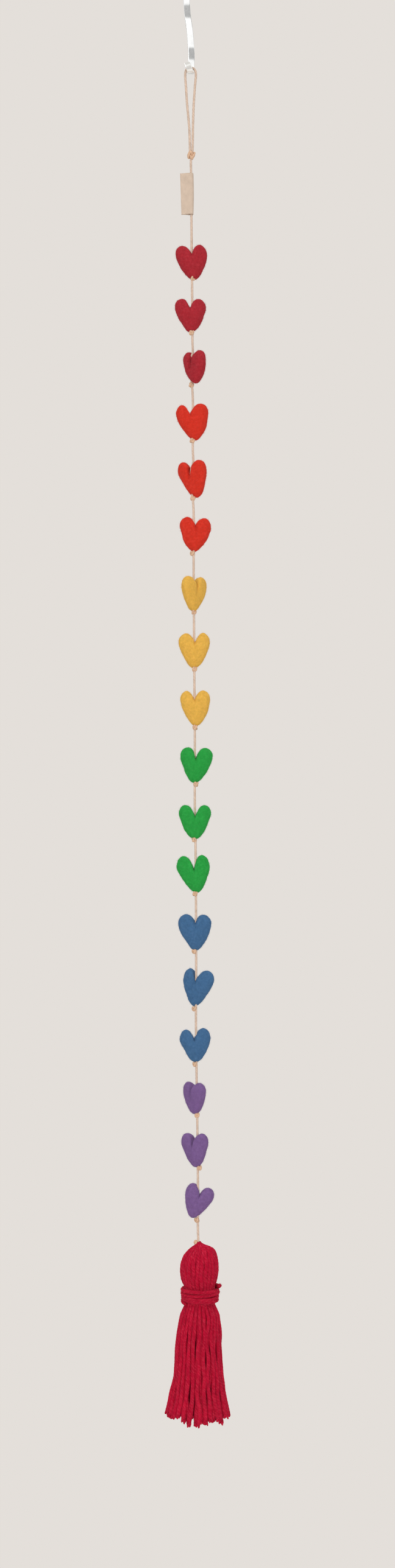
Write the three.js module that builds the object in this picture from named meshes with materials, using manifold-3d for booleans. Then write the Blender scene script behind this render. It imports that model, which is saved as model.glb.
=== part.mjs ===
// A felt heart garland on a strip hook: eighteen wool hearts and a yarn tassel on one knotted cord.
// Millimetres, +Z up, seen along +Y. The origin lies under the hook's top run, in the middle of its seat.
import * as THREE from "three";
import { mergeVertices } from "three/addons/utils/BufferGeometryUtils.js";
import Module from "manifold-3d";

const wasm = await Module();
wasm.setup();

// Sizes that many pieces share
const GAP = 0.3; // left between pieces that touch
const CORD_RADIUS = 0.85;
const CORD_SIDES = 8;
const BACK_LIMIT = -17.8; // nothing that hangs reaches behind this, in Y

// The hook's sizes
const STRIP_WIDTH = 4.4;
const STRIP_THICK = 1;
const SEAT_SPAN = 36; // between the front leg and the back lip
const LIP_DROP = 30;
const BEND_RADIUS = 1.5; // of the strip's middle, at both ends of the top run
const HOOK_DROP = 155; // from the seat to the foot of the J
const J_RADIUS = 4.5; // of the strip's middle
const J_TIP_RISE = 6.4; // of the tip above the foot
const J_TIP_FLARE = 0.4; // forward of the J's front
const J_TIP_LEAN = THREE.MathUtils.degToRad(22);
const J_TIP_SLOPE = 0.8; // how much of that lean its end edge takes

// How far the front leg strays sideways, by how far down it is
const LEG_STRAY = [
  // down, aside
  [0, 0],
  [40, -1.2],
  [75, -2.6],
  [105, -2.5],
  [115, -1.7],
  [122, -0.5],
  [140, 0.8],
  [150, 0.3],
  [155, 0],
];

// The cord hangs from the J and leans out to its tassel
const CORD_Y_AT_HOOK = -SEAT_SPAN / 2 - STRIP_THICK / 2 - J_RADIUS;
const CORD_Y_AT_TASSEL = -30;
const LOOP_KNOT_DOWN = 211.5;
const LOOP_KNOT_ASIDE = 0.2;
const TASSEL_DOWN = 961.4; // to the tassel's top
const TASSEL_ASIDE = 0.3;
const CORD_INTO_TASSEL = 8;

// The loop over the hook, from inside the loop knot up the left leg and down the right one
const LOOP_ROUTE = [
  // aside, down
  [-0.75, 211.5],
  [-0.85, 203],
  [-1.15, 193],
  [-2.6, 175],
  [-3.25, 164],
  [-3.55, 154.2],
  [-2.5, 151.7],
  [0, 150.6],
  [2.5, 151.7],
  [3.55, 154.2],
  [2.95, 164],
  [2.1, 175],
  [1.4, 193],
  [1.15, 203],
  [1.15, 211.5],
];
const LOOP_STEPS = 44;
const DROP_STEPS = 38;

// Knots: the loop's, one under each heart, and one beside the tassel's top
const LOOP_KNOT = { radius: 2.65, height: 5.3 };
const HEART_KNOT = { radius: 1.9, height: 3.5 };
const TASSEL_KNOT = { radius: 1.6, height: 3, aside: -1.7, up: 0.2 };
const KNOT_SIDES = 6;
const KNOT_PROFILE = [
  // out, up: shares of the radius and the height
  [0, -0.5],
  [0.65, -0.5],
  [1, -0.2],
  [0.97, 0.2],
  [0.6, 0.5],
  [0, 0.5],
];

// The folded tag
const TAG_THICK = 1; // of each layer
const TAG_TOP_DOWN = 224;
const TAG_LENGTH = 28.5;
const TAG_REACH = 7.5; // from the cord to the open side
const TAG_OPEN_GAP = 0.4; // between the two layers there
const TAG_ASIDE = -0.2;

// The hearts
const HEART_FULLNESS = 0.44; // thickness over width
const HEART_PUFF = 0.8; // under 1 fills the faces out and rounds the rim
const HEART_RINGS = 6;
const HEART_CENTRE = 0.52; // where the faces stand highest, as a share of the height
const HEART_BEHIND_CORD = 1.2;

// Half a heart's outline, from the notch round the lobe to the tip
const HALF_OUTLINE = [
  // across, up and dip: shares of the half width, the height and the notch's depth
  [0, 1, 1],
  [0.15, 1, 0.5],
  [0.33, 1, 0.13],
  [0.58, 1, 0],
  [0.83, 0.945, 0],
  [0.98, 0.83, 0],
  [0.99, 0.67, 0],
  [0.82, 0.44, 0],
  [0.54, 0.2, 0],
  [0.25, 0.045, 0],
  [0, 0, 0],
];

const HEARTS = [
  // colour, knot down, knot aside, tip above knot, middle aside, width, height,
  // notch aside, notch depth, yaw, roll
  ["dark_red", 296.6, 0.5, -1, -0.1, 21.7, 24.2, 0.5, 5.6, 0, -3],
  ["dark_red", 334.3, -0.3, 0.7, -1.1, 21.3, 22.8, -0.2, 5.5, 0, -1],
  ["dark_red", 370.4, -0.9, 0.3, 1.4, 20.5, 22.5, -0.3, 5, -50, 0],
  ["orange_red", 408.9, -0.4, 0.3, 0, 22, 24.9, -1.8, 6, 0, -4],
  ["orange_red", 448.6, -0.2, 0.2, -0.2, 20.6, 25.8, -0.8, 6, -24, -5],
  ["orange_red", 486.9, -0.7, 1.2, 1, 21.3, 23.8, 0, 5, 0, 4],
  ["yellow", 527.3, -0.1, 0.8, 0.1, 21, 23.7, 0, 5, 45, 1],
  ["yellow", 566.7, 0.2, 0.5, 0, 21.1, 24.4, 0.4, 5.4, 0, 0],
  ["yellow", 607, 0.4, 1.5, 0.7, 20.2, 23.7, -0.7, 4.8, 0, -1.5],
  ["green", 646.1, 0.7, 0.9, 0.9, 21.8, 24.4, -0.7, 6.2, 0, 3.5],
  ["green", 684.3, -0.9, 0.6, -0.2, 21.9, 23.2, 0, 6.8, 0, 0.5],
  ["green", 721.6, -0.3, 0.5, -1.2, 22.3, 25.9, 0.3, 8, 0, -4],
  ["blue", 761.3, -1.1, 0.8, -0.8, 22.8, 24.7, 0.4, 5.2, 0, -0.5],
  ["blue", 800.9, -1.4, 1.6, 1.6, 21.2, 25.5, -0.8, 6.8, -16, 6],
  ["blue", 839, -1.2, 1.4, -0.8, 21.2, 22.8, -0.8, 7, 0, -3],
  ["purple", 873.9, 0, 0.6, -1.8, 20.5, 21.6, 0, 4.5, -50, -2],
  ["purple", 910.3, 1.3, 0.5, -1.6, 20.6, 23.2, -0.3, 5.8, -34, 0],
  ["purple", 946.1, -0.6, 0.9, 0.8, 20.6, 22.6, 0, 6.2, 0, 13],
];

// The tassel's head, neck and skirt by how far they are below its top, as half widths
const TASSEL_FORM = [
  // down, middle aside, across, deep
  [0, 0.2, 1.5, 1.5],
  [2, 0.2, 3.4, 3.2],
  [3.4, 1.1, 5.8, 5],
  [5.7, 1.7, 8.8, 7.6],
  [9.7, 1.2, 11.7, 9.8],
  [14.5, 0.8, 13, 10.8],
  [19.3, 0.7, 13.2, 11],
  [24.2, 0.7, 12.5, 10.4],
  [27.6, 0.7, 11.4, 9.7],
  [28.6, 0.8, 10.5, 9],
  [43, 0.8, 10.5, 9],
  [45, 0.7, 11.6, 9.7],
  [50, 0.7, 13.8, 10.4],
  [60, 0, 15.2, 10.8],
  [73, -0.5, 16, 11],
  [82, -0.6, 16.4, 11.2],
  [92, -0.5, 17.4, 11.6],
  [102, -1.1, 19.3, 11.9],
  [111, -1.2, 21, 12.1],
  [119, -1.3, 22.7, 12.2],
  [128, -1.3, 23.2, 12.2],
];
const HEAD_END = 44.5;
const HEAD_END_SHARE = 0.72; // of the neck's width, left between the strands' roots
const HEAD_RIDGES = 22;
const HEAD_GROOVE = 0.07; // as a share of the half width

// The skirt's strands stand in rings, the outer two a half pitch apart
const SKIRT_ROOT = 42.7;
const SKIRT_END = 122;
const SKIRT_MIDDLE_LONGER = 4;
const SKIRT_UNEVEN = 1.9;
const SKIRT_STEPS = 5;
const STRAND_WAVE = 0.12;
const CORNER_REACH = { 3: Math.sin(Math.PI / 3), 4: Math.cos(Math.PI / 4) }; // of a section, by its sides
const SKIRT_RINGS = [
  // strands, sides, root width, end width, depth, root share out, end share out, turn in pitches
  [24, 4, 1.7, 2.7, 1.6, 0.87, 0.94, 0],
  [24, 3, 1.3, 2.2, 1.6, 0.63, 0.8, 0.5],
  [10, 3, 1.6, 2.2, 1.8, 0.39, 0.52, 0],
  [3, 3, 1.6, 2.2, 1.8, 0.16, 0.24, 0.5],
];

// The yarn wound round the neck
const WRAP_CLEAR = GAP + 0.1; // off the neck: the gap, and what the flat facets take of it
const WRAP_TOP = 29.5;
const WRAP_TURNS = 5;
const WRAP_PITCH = 2.36;
const WRAP_RISE = 2.25; // of a turn above the neck's clearance
const WRAP_GROOVE = 1.3;
const WRAP_SLANT = { across: 0.3, deep: 1 };
const WRAP_SEGMENTS = 26;

const FINISHES = {
  // colour, roughness, metalness
  steel: ["#c9c9c6", 0.2, 1],
  cord: ["#dec4aa", 0.75, 0],
  tape: ["#dec4aa", 0.6, 0],
  dark_red: ["#af2832", 0.95, 0],
  orange_red: ["#d63424", 0.95, 0],
  yellow: ["#e2b046", 0.95, 0],
  green: ["#289b41", 0.95, 0],
  blue: ["#426896", 0.95, 0],
  purple: ["#7d5a91", 0.95, 0],
  crimson: ["#be1932", 0.9, 0],
};

// A mesh with a material of its own
function piece(name, finish, geometry) {
  const [color, roughness, metalness] = FINISHES[finish];
  const material = new THREE.MeshStandardMaterial({ color, roughness, metalness });
  const mesh = new THREE.Mesh(geometry, material);
  mesh.name = name;
  return mesh;
}

// A steady number from -1 to 1 for each n, which makes repeats uneven
function uneven(n) {
  return Math.sin(12.9 * n + 0.7) * Math.cos(4.1 * n);
}

// The rows' values at a place, worked out straight between the two rows round it
function valuesAt(rows, place) {
  const passed = rows.filter((row) => row[0] < place).length;
  const lower = THREE.MathUtils.clamp(passed - 1, 0, rows.length - 2);
  const [a, b] = [rows[lower], rows[lower + 1]];
  const share = THREE.MathUtils.clamp((place - a[0]) / (b[0] - a[0]), 0, 1);
  return a.slice(1).map((value, i) => THREE.MathUtils.lerp(value, b[i + 1], share));
}

// Moves each vertex of a geometry by a function that changes it
function reshape(geometry, change) {
  const place = geometry.getAttribute("position");
  const v = new THREE.Vector3();
  for (let i = 0; i < place.count; i++) {
    v.fromBufferAttribute(place, i);
    change(v);
    place.setXYZ(i, v.x, v.y, v.z);
  }
  geometry.computeVertexNormals();
  return geometry;
}

// A geometry as a solid that can be joined and cut
function solid(geometry) {
  const bare = geometry.clone();
  bare.deleteAttribute("normal");
  bare.deleteAttribute("uv");
  const merged = mergeVertices(bare, 1e-4);
  return new wasm.Manifold(
    new wasm.Mesh({
      numProp: 3,
      vertProperties: merged.getAttribute("position").array,
      triVerts: new Uint32Array(merged.index.array),
    }),
  );
}

function geometryOf(body) {
  const mesh = body.getMesh();
  const geometry = new THREE.BufferGeometry();
  geometry.setAttribute("position", new THREE.BufferAttribute(mesh.vertProperties, 3));
  geometry.setIndex(new THREE.BufferAttribute(mesh.triVerts, 1));
  geometry.computeVertexNormals();
  return geometry;
}

// The direction square to a line of points at one of them
function acrossLine(points, i) {
  const before = points[Math.max(0, i - 1)];
  const after = points[Math.min(points.length - 1, i + 1)];
  const along = after.clone().sub(before).normalize();
  return new THREE.Vector2(along.y, -along.x);
}

// The outline of a ribbon of a thickness that follows a line of points
function ribbon(points, thick) {
  const side = (off) => points.map((p, i) => p.clone().addScaledVector(acrossLine(points, i), off));
  return new THREE.Shape([...side(thick / 2), ...side(-thick / 2).reverse()]);
}

// How far the cord stands out, in Y, at a height
function cordY(z) {
  const share = (-z - HOOK_DROP) / (TASSEL_DOWN - HOOK_DROP);
  return THREE.MathUtils.lerp(CORD_Y_AT_HOOK, CORD_Y_AT_TASSEL, share);
}

function onCord(aside, down) {
  return new THREE.Vector3(aside, cordY(-down), -down);
}

// The strip hook's middle seen from the side: back lip, top run, front leg and J
function hookLine() {
  const half = SEAT_SPAN / 2 + STRIP_THICK / 2;
  const top = STRIP_THICK / 2;
  const side = new THREE.Path();
  side.moveTo(half, -LIP_DROP);
  side.lineTo(half, top - BEND_RADIUS);
  side.absarc(half - BEND_RADIUS, top - BEND_RADIUS, BEND_RADIUS, 0, Math.PI / 2);
  side.absarc(-half + BEND_RADIUS, top - BEND_RADIUS, BEND_RADIUS, Math.PI / 2, Math.PI);
  for (const [down] of LEG_STRAY.slice(1, -2)) side.lineTo(-half, -down);
  side.absarc(-half - J_RADIUS, -HOOK_DROP + STRIP_THICK / 2 + J_RADIUS, J_RADIUS, 0, -Math.PI, true);
  side.lineTo(-half - 2 * J_RADIUS - J_TIP_FLARE, -HOOK_DROP + J_TIP_RISE);
  const points = side.getPoints(7);
  return points.filter((p, i) => i === 0 || p.distanceTo(points[i - 1]) > 0.01);
}

// The hook: a long box laid along that line, then bent aside down its leg and turned at the J's tip
function hook() {
  const line = hookLine();
  const steps = line.length - 1;
  const jMiddle = -SEAT_SPAN / 2 - STRIP_THICK / 2 - J_RADIUS;
  return reshape(new THREE.BoxGeometry(STRIP_WIDTH, STRIP_THICK, 1, 1, 1, steps), (v) => {
    const station = Math.round((v.z + 0.5) * steps);
    const out = acrossLine(line, station).multiplyScalar(v.y);
    v.set(v.x, line[station].x + out.x, line[station].y + out.y);
    if (v.y < jMiddle) {
      const turn = J_TIP_LEAN * Math.min(1, (jMiddle - v.y) / J_RADIUS);
      const rise = v.z + HOOK_DROP;
      const lift = J_TIP_SLOPE * v.x * Math.sin(turn);
      v.set(v.x * Math.cos(turn) - rise * Math.sin(turn), v.y, v.z + lift);
    } else if (v.y < 0) {
      v.x += valuesAt(LEG_STRAY, -v.z)[0];
    }
  });
}

function tube(points, steps, radius) {
  const corners = [];
  for (let i = 0; i < CORD_SIDES; i++) {
    const angle = (2 * Math.PI * i) / CORD_SIDES;
    corners.push(new THREE.Vector2(radius * Math.cos(angle), radius * Math.sin(angle)));
  }
  return new THREE.ExtrudeGeometry(new THREE.Shape(corners), {
    steps,
    extrudePath: new THREE.CatmullRomCurve3(points),
    bevelEnabled: false,
  });
}

// A knot: a lump round the cord
function knot({ radius, height }, at) {
  const points = KNOT_PROFILE.map(([out, up]) => new THREE.Vector2(out * radius, up * height));
  return new THREE.LatheGeometry(points, KNOT_SIDES).rotateX(Math.PI / 2).translate(at.x, at.y, at.z);
}

// From the loop knot through the tag and each heart's knot into the tassel, and extra further
function dropRoute(extra) {
  const tagEnd = TAG_TOP_DOWN + TAG_LENGTH;
  const route = [LOOP_KNOT_DOWN, TAG_TOP_DOWN, tagEnd, tagEnd + 12].map((down) => onCord(TAG_ASIDE, down));
  for (const [, down, aside] of HEARTS) route.push(onCord(aside, down));
  route.push(onCord(TASSEL_ASIDE, TASSEL_DOWN));
  route.push(onCord(TASSEL_ASIDE, TASSEL_DOWN + CORD_INTO_TASSEL + extra));
  return route;
}

// The cord with its knots; extra makes it fatter, which gives the room that other pieces leave it
function cord(extra) {
  const widen = extra ? (CORD_RADIUS + extra) / Math.cos(Math.PI / CORD_SIDES) : CORD_RADIUS;
  const grown = ({ radius, height }) => ({ radius: radius + extra * 1.2, height: height + 2 * extra });
  const loop = LOOP_ROUTE.map(([aside, down]) => onCord(aside, down));
  let body = solid(tube(loop, LOOP_STEPS, widen));
  body = body.add(solid(tube(dropRoute(extra), DROP_STEPS, widen)));
  body = body.add(solid(knot(grown(LOOP_KNOT), onCord(LOOP_KNOT_ASIDE, LOOP_KNOT_DOWN))));
  for (const [, down, aside] of HEARTS) body = body.add(solid(knot(grown(HEART_KNOT), onCord(aside, down))));
  const beside = onCord(TASSEL_ASIDE + TASSEL_KNOT.aside, TASSEL_DOWN - TASSEL_KNOT.up);
  return body.add(solid(knot(grown(TASSEL_KNOT), beside)));
}

// The tag: one ribbon folded round the cord, its two layers closing towards the open side
function tag() {
  const round = CORD_RADIUS + GAP + TAG_THICK / 2;
  const open = TAG_OPEN_GAP / 2 + TAG_THICK / 2;
  const fold = new THREE.Path();
  fold.moveTo(-TAG_REACH, -open);
  fold.lineTo(-TAG_REACH / 2, -(open + round) / 2);
  fold.absarc(0, 0, round, -Math.PI / 2, Math.PI / 2);
  fold.lineTo(-TAG_REACH / 2, (open + round) / 2);
  fold.lineTo(-TAG_REACH, open);
  const shape = ribbon(fold.getPoints(8), TAG_THICK);
  const geometry = new THREE.ExtrudeGeometry(shape, { depth: TAG_LENGTH, bevelEnabled: false });
  const mesh = piece("tag", "tape", geometry);
  mesh.position.copy(onCord(TAG_ASIDE, TAG_TOP_DOWN + TAG_LENGTH));
  mesh.rotation.x = Math.atan((CORD_Y_AT_TASSEL - CORD_Y_AT_HOOK) / (TASSEL_DOWN - HOOK_DROP));
  return mesh;
}

// A heart's outline, clockwise from its notch, with the tip at 0 and the middle between the sides
function heartOutline(width, height, notchAside, notchDepth) {
  const last = HALF_OUTLINE.length - 1;
  const half = (side) =>
    HALF_OUTLINE.map(([across, up, dip], i) => {
      const drift = notchAside * Math.max(0, 1 - across / 0.8) * (i < last / 2 ? 1 : 0);
      return new THREE.Vector2((side * across * width) / 2 + drift, up * height - dip * notchDepth);
    });
  return [...half(1), ...half(-1).slice(1, -1).reverse()];
}

// A felt heart: a ball pressed to the outline, its poles on the two faces
function heart(width, height, notchAside, notchDepth) {
  const outline = heartOutline(width, height, notchAside, notchDepth);
  const centre = new THREE.Vector2(0, height * HEART_CENTRE);
  const ball = new THREE.SphereGeometry(1, outline.length, HEART_RINGS);
  return reshape(ball, (v) => {
    const turn = (Math.atan2(v.z, -v.x) / (2 * Math.PI) + 1.75) % 1;
    const rim = outline[Math.round(turn * outline.length) % outline.length];
    const out = Math.hypot(v.x, v.z) ** HEART_PUFF;
    const face = Math.sign(v.y) * Math.abs(v.y) ** HEART_PUFF;
    const place = centre.clone().lerp(rim, out);
    v.set(place.x, (face * width * HEART_FULLNESS) / 2, place.y - height / 2);
  });
}

// A heart on the cord, bored for it and hollowed where its knot sits
function threadedHeart(row, index, room) {
  const [colour, down, , tipUp, middle, width, height, notchAside, notchDepth, yaw, roll] = row;
  const number = String(index + 1).padStart(2, "0");
  const turned = THREE.MathUtils.degToRad(yaw);
  const z = -down + tipUp + height / 2;
  const reachBack = (width / 2) * Math.hypot(Math.sin(turned), HEART_FULLNESS * Math.cos(turned));
  const y = Math.min(cordY(z) + HEART_BEHIND_CORD, BACK_LIMIT - reachBack);
  const mesh = piece(`heart_${number}_${colour}`, colour);
  mesh.position.set(middle, y, z);
  mesh.rotation.set(0, THREE.MathUtils.degToRad(roll), turned, "ZYX");
  mesh.updateMatrix();
  const toHeart = geometryOf(room).applyMatrix4(mesh.matrix.clone().invert());
  mesh.geometry = geometryOf(solid(heart(width, height, notchAside, notchDepth)).subtract(solid(toHeart)));
  return mesh;
}

// A point of the tassel at a height, an angle and a share of the way out, or a distance past it
function tasselPoint(down, angle, share, past = 0) {
  const [middle, across, deep] = valuesAt(TASSEL_FORM, down);
  const x = TASSEL_ASIDE + middle + (across * share + past) * Math.cos(angle);
  const y = CORD_Y_AT_TASSEL + (deep * share + past) * Math.sin(angle);
  return new THREE.Vector3(x, y, -TASSEL_DOWN - down);
}

// How far the wrap, and what it binds, is raised at an angle round the neck: it hangs lower in front
function wrapSlant(angle) {
  return WRAP_SLANT.across * Math.cos(angle) + WRAP_SLANT.deep * Math.sin(angle);
}

// The head and neck: a turned form with a ridge for each lock of yarn
function tasselHead() {
  const downs = TASSEL_FORM.map(([down]) => down).filter((down) => down <= HEAD_END);
  const rings = downs.map((down) => new THREE.Vector2(1, -down));
  const end = [new THREE.Vector2(0, -HEAD_END), new THREE.Vector2(HEAD_END_SHARE, -HEAD_END)];
  const profile = [...end, ...rings.reverse(), new THREE.Vector2(0, 0)];
  const turnedForm = new THREE.LatheGeometry(profile, 2 * HEAD_RIDGES).rotateX(Math.PI / 2);
  return reshape(turnedForm, (v) => {
    const out = Math.hypot(v.x, v.y);
    const angle = Math.atan2(v.y, v.x);
    const step = Math.round((angle * HEAD_RIDGES) / Math.PI);
    const share = out * (step % 2 ? 1 - HEAD_GROOVE : 1);
    const slant = wrapSlant(angle) * THREE.MathUtils.smoothstep(-v.z, 14, 27);
    v.copy(tasselPoint(-v.z, angle, share));
    v.z += slant;
  });
}

// One strand of the skirt, from its root in the neck to its cut end
function strand(ring, index) {
  const [count, sides, rootWidth, endWidth, depth, rootShare, endShare, turn] = SKIRT_RINGS[ring];
  const number = ring * 100 + index;
  const angle = (2 * Math.PI * (index + turn)) / count;
  const longer = SKIRT_MIDDLE_LONGER * (1 - Math.abs(Math.cos(angle))) + SKIRT_UNEVEN * uneven(number);
  const length = SKIRT_END + longer - SKIRT_ROOT;
  const rod = new THREE.CylinderGeometry(1, 1, 1, sides, SKIRT_STEPS, false, Math.PI / sides);
  const out = new THREE.Vector3(Math.cos(angle), Math.sin(angle), 0);
  const along = new THREE.Vector3(out.y, -out.x, 0);
  return reshape(rod.rotateX(Math.PI / 2), (v) => {
    const share = 0.5 - v.z;
    const down = SKIRT_ROOT + share * length;
    const reach = THREE.MathUtils.lerp(rootShare, endShare, share);
    const width = THREE.MathUtils.lerp(rootWidth, endWidth, share);
    const centre = tasselPoint(down, angle, reach);
    const wave = uneven(number + 40 * Math.round(share * SKIRT_STEPS));
    centre.addScaledVector(along, STRAND_WAVE * share * wave);
    centre.addScaledVector(along, (v.x * width) / 2 / CORNER_REACH[sides]);
    v.copy(centre.addScaledVector(out, (v.y * depth) / 2 / CORNER_REACH[sides]));
  });
}

function tassel(room) {
  let body = solid(tasselHead());
  SKIRT_RINGS.forEach(([count], ring) => {
    for (let i = 0; i < count; i++) body = body.add(solid(strand(ring, i)));
  });
  return geometryOf(body.subtract(room));
}

// The wrap: a ring of turns round the neck, lower in front and a little slanted
function tasselWrap() {
  const bottom = -WRAP_TOP - WRAP_TURNS * WRAP_PITCH;
  const profile = [new THREE.Vector2(WRAP_CLEAR, -WRAP_TOP), new THREE.Vector2(WRAP_CLEAR, bottom)];
  for (let i = WRAP_TURNS - 1; i >= 0; i--) {
    const lower = -WRAP_TOP - (i + 1) * WRAP_PITCH;
    profile.push(new THREE.Vector2(WRAP_CLEAR + WRAP_GROOVE, lower));
    profile.push(new THREE.Vector2(WRAP_CLEAR + WRAP_RISE, lower + 0.28 * WRAP_PITCH));
    profile.push(new THREE.Vector2(WRAP_CLEAR + WRAP_RISE, lower + 0.72 * WRAP_PITCH));
  }
  profile.push(new THREE.Vector2(WRAP_CLEAR + WRAP_GROOVE, -WRAP_TOP));
  profile.push(profile[0].clone());
  const away = 100; // keeps the profile off the axis until it is laid on the neck
  const spun = new THREE.LatheGeometry(
    profile.map((p) => new THREE.Vector2(p.x + away, p.y)),
    WRAP_SEGMENTS,
  ).rotateX(Math.PI / 2);
  return reshape(spun, (v) => {
    const angle = Math.atan2(v.y, v.x);
    const past = Math.hypot(v.x, v.y) - away;
    v.copy(tasselPoint(-v.z, angle, 1, past));
    v.z += wrapSlant(angle);
  });
}

const garland = new THREE.Group();
const room = cord(GAP);
garland.add(piece("hook", "steel", hook()));
garland.add(piece("cord", "cord", geometryOf(cord(0))));
garland.add(tag());
HEARTS.forEach((row, index) => garland.add(threadedHeart(row, index, room)));
garland.add(piece("tassel", "crimson", tassel(room)));
garland.add(piece("tassel_wrap", "crimson", tasselWrap()));

export default garland;
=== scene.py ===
# The look of the felt heart garland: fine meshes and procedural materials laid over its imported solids.
# Shapes are worked out in millimetres in the part's own frame and turned into metres when a mesh is made.
import math

import bpy
import numpy as np
from mathutils import Euler, Matrix, Vector


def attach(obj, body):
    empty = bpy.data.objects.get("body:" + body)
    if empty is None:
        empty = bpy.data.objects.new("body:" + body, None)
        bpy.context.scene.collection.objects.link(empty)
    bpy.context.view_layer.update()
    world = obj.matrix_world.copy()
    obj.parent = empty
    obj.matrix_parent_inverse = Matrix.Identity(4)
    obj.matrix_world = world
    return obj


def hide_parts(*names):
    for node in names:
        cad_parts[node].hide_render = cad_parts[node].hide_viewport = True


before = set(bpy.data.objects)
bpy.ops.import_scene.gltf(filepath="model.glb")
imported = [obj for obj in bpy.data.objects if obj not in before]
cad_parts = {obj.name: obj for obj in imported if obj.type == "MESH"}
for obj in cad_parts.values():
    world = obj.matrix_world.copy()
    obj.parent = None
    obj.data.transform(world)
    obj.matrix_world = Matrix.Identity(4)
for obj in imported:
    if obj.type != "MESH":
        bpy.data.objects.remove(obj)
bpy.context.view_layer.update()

MM = 0.001
SOAK_DEPTH = 0.7  # of light into wool and yarn

# Twisted strands
GRAIN_STRETCH = 0.2  # of the fine fibres along a strand
GRAIN_APART = 40.0  # how far a strand's phase moves its grain along
# Shade values that colour a yarn: painted shade in the grooves between plies, painted light on their crowns
GROOVE_SHADE = 0.25
CROWN_SHADE = 0.75
END_SHADE = 0.4
END_BULGE = 0.5  # as a share of its radius

# Loose fibres
FIBRE_RADIUS = 0.026
END_FIBRE_RADIUS = 0.02  # at cut ends
FIBRE_SINK = 0.12  # of its root under the surface
FIBRE_RISE = (0.2, 1.5)  # least and most share of its lift
FIBRE_BEND = 0.6
FIBRE_TAPER = 0.8  # of its radius, left where it bends
SHORT_FIBRE = (0.5, 1.4)
SHORT_LIFT = 1.4

# The photograph's frame at the garland's plane
FRAME_HEIGHT = 1082.0
FRAME_MIDDLE = (1.7, -26.0, -646.0)
CAMERA_ROLL = math.radians(-0.36)
LENS = 50.0
SENSOR = 36.0

# The hook's sizes
STRIP_WIDTH = 4.4
STRIP_THICK = 1.0
STRIP_EDGE = 0.3  # how far its long edges are rounded
STRIP_HOLD = 0.12  # from there to where its face is flat
SEAT_SPAN = 36.0
LIP_DROP = 30.0
BEND_RADIUS = 1.5
HOOK_DROP = 155.0
J_RADIUS = 4.5
J_TIP_RISE = 6.4
J_TIP_FLARE = 0.4
J_TIP_LEAN = math.radians(22)
J_TIP_SLOPE = 0.8
LEG_TILT = np.array([
    # down, degrees that its face tips up
    [0, 0], [104, 0], [107, 3.1], [114, 3.1], [117, 0],
    [134, 0], [137, -3.5], [143, -3.5], [145.5, 0], [155, 0],
])
LEG_RIPPLE = (0.012, 10.0)  # height and size
LEG_STRAY = np.array([
    # down, aside
    [0, 0], [40, -1.2], [75, -2.6], [105, -2.5], [115, -1.7],
    [122, -0.5], [140, 0.8], [150, 0.3], [155, 0],
], float)
STRAY_SOFTENING = 15  # stations to each side, of 300 down the leg

# The cord
CORD_RADIUS = 0.85
CORD_Y_AT_HOOK = -SEAT_SPAN / 2 - STRIP_THICK / 2 - J_RADIUS
CORD_Y_AT_TASSEL = -30.0
LOOP_KNOT = (0.2, 211.5)  # aside, down
TASSEL_DOWN = 961.4
TASSEL_ASIDE = 0.3
CORD_INTO_TASSEL = 8.0
CORD_PLIES = 3
CORD_PITCH = 6.5
CORD_STEP = 0.62
CORD_SIDES = 12
CORD_GROOVE = 0.07
CORD_UNEVEN = (0.03, 5.0)  # share of its radius, and size
LOOP_ROUTE = [
    # aside, down
    (-0.75, 211.5), (-0.85, 203), (-1.15, 193), (-2.6, 175), (-3.25, 164), (-3.55, 154.2),
    (-2.5, 151.7), (0, 150.6), (2.5, 151.7), (3.55, 154.2), (2.95, 164), (2.1, 175), (1.4, 193),
    (1.15, 203), (0.85, 209),
]
CORD_DROP = [
    # aside, down and forward: it hangs almost straight, and bends where it sinks into two creases
    (-0.1, 214.5, 0), (-0.1, 224, 0), (0, 264.5, 0), (0.1, 305, 0), (0.1, 340, 0), (0.2, 348.5, 0.2),
    (-1.4, 353.5, 0.8), (0.1, 379, 0), (-0.1, 415, 0), (0.1, 424, 0.2), (-1.3, 430, 1.2), (0.2, 458, 0),
    (0, 497, 0), (0, 577, 0), (0.1, 616, 0), (-0.2, 655, 0), (0.1, 693, 0), (0, 771, 0),
    (-0.4, 810, 0), (-0.2, 846, 0), (0.1, 882, 0), (0.3, 918, 0), (0.1, 954, 0),
]

# Knots: how wide and how high
LOOP_KNOT_SIZE = (5.3, 5.3)
HEART_KNOT_SIZE = (4.0, 3.6)
TASSEL_KNOT_SIZE = (3.2, 3.0)
TASSEL_KNOT_AT = (-1.4, 961.2)  # aside, down
KNOT_STATIONS = 80
KNOT_TUBE = 0.92  # of the cord's radius, drawn tight
KNOT_TILT = 0.25
DOUBLE_KNOT = {"tube": 0.86, "lift": 0.7, "growth": 0.12}  # the loop's, of two rounds

# The folded tag
TAG_THICK = 0.42
TAG_TOP_DOWN = 224.0
TAG_LENGTH = 28.5
TAG_ASIDE = -0.2
TAG_LAYER = [
    # the front one's middle from its open side to the cord: aside, forward
    (-7.5, -0.32), (-5.625, -0.32), (-3.375, -0.75), (-1.2, -1.42),
]
TAG_BOW = 0.35
TAG_TAPER = 0.1
TAG_RIPPLE = (0.06, 9.0)  # height and size
TAG_RAGGED = (0.05, 3.0)  # of its cut edges, depth and size
TAG_ROUND = 1.5  # of the fold's middle round the cord

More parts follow.
